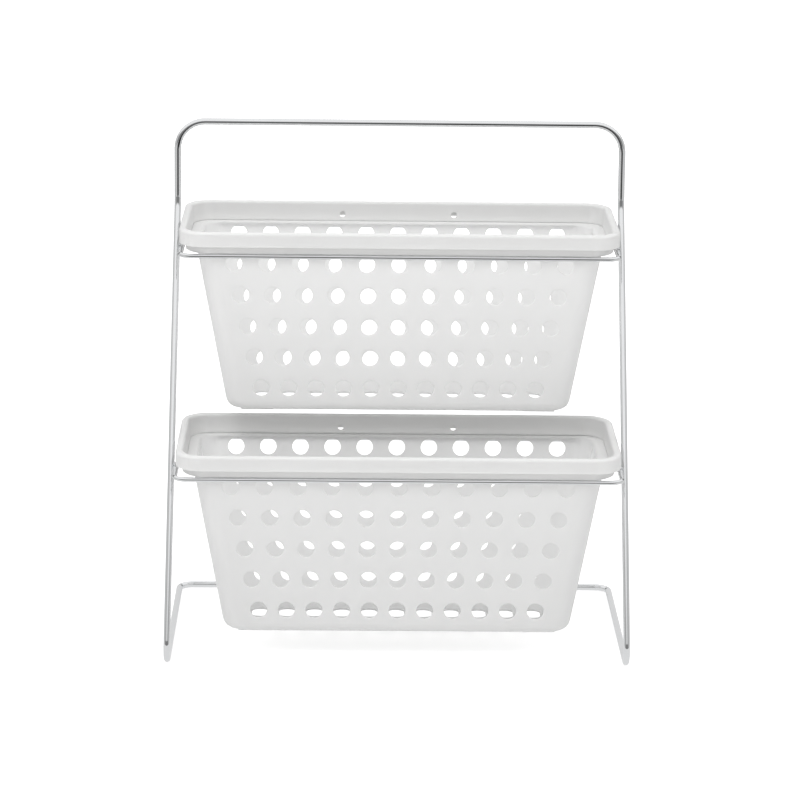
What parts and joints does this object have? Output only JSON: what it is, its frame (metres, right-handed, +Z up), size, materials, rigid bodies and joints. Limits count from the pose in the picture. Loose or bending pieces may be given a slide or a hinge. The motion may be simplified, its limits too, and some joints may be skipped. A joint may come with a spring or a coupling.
{
  "type": "two-tier countertop organizer",
  "caption": "Free-standing countertop organizer: a bent wire stand with a carrying handle and, at each tier, a perforated plastic basket that hangs by its ledge in a wire ring.",
  "frame": {"origin": "on the counter, in the middle of the stand's width and depth", "axes": "+Z up, +X to the right of someone who faces the front, +Y to the back"},
  "size_m": [0.4, 0.252, 0.451],
  "materials": {
    "chromed_wire": "polished",
    "pale_plastic": "satin"
  },
  "bodies": {
    "stand": {"stand_frame": "chromed_wire", "lower_ring": "chromed_wire", "upper_ring": "chromed_wire"},
    "lower_basket": {"lower_basket": "pale_plastic"},
    "upper_basket": {"upper_basket": "pale_plastic"}
  },
  "joints": [
    {"name": "lower_basket_lift", "type": "slide", "parent": "stand", "child": "lower_basket", "axis": [0, 0, 1], "range_m": [0, 0.016]},
    {"name": "upper_basket_lift", "type": "slide", "parent": "stand", "child": "upper_basket", "axis": [0, 0, 1], "range_m": [0, 0.06]}
  ]
}
